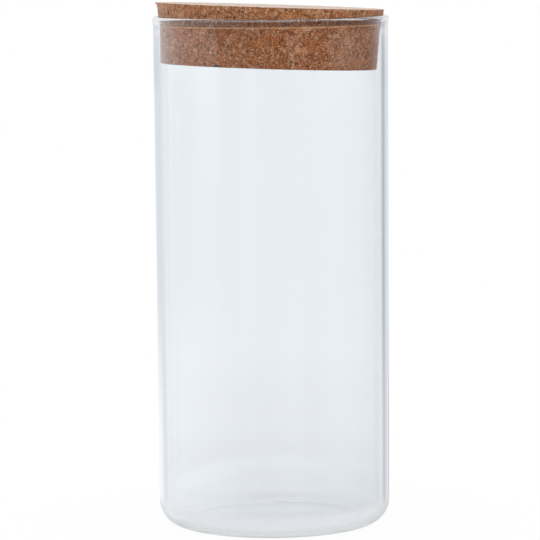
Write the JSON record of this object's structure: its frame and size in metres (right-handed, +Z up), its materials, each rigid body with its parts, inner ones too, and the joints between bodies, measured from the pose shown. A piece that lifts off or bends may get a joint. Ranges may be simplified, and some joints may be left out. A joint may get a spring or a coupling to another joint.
{
  "type": "glass storage jar with cork stopper",
  "caption": "Tall straight clear glass storage jar with a rounded heel and beaded rim, closed by a tapered pressed-cork stopper that lifts out.",
  "frame": {"origin": "centre of the jar's foot, on the table", "axes": "+Z up along the jar's axis, -Y towards the viewer of the picture, +X to the viewer's right"},
  "size_m": [0.1008, 0.1008, 0.2242],
  "materials": {
    "clear_glass": "clear, fire polished",
    "pressed_cork": "matt pressed granules"
  },
  "bodies": {
    "jar": {"glass_jar": "clear_glass"},
    "stopper": {"cork_stopper": "pressed_cork"}
  },
  "joints": [
    {"name": "stopper_lift", "type": "slide", "parent": "jar", "child": "stopper", "axis": [0, 0, 1], "range_m": [0, 0.06]}
  ]
}
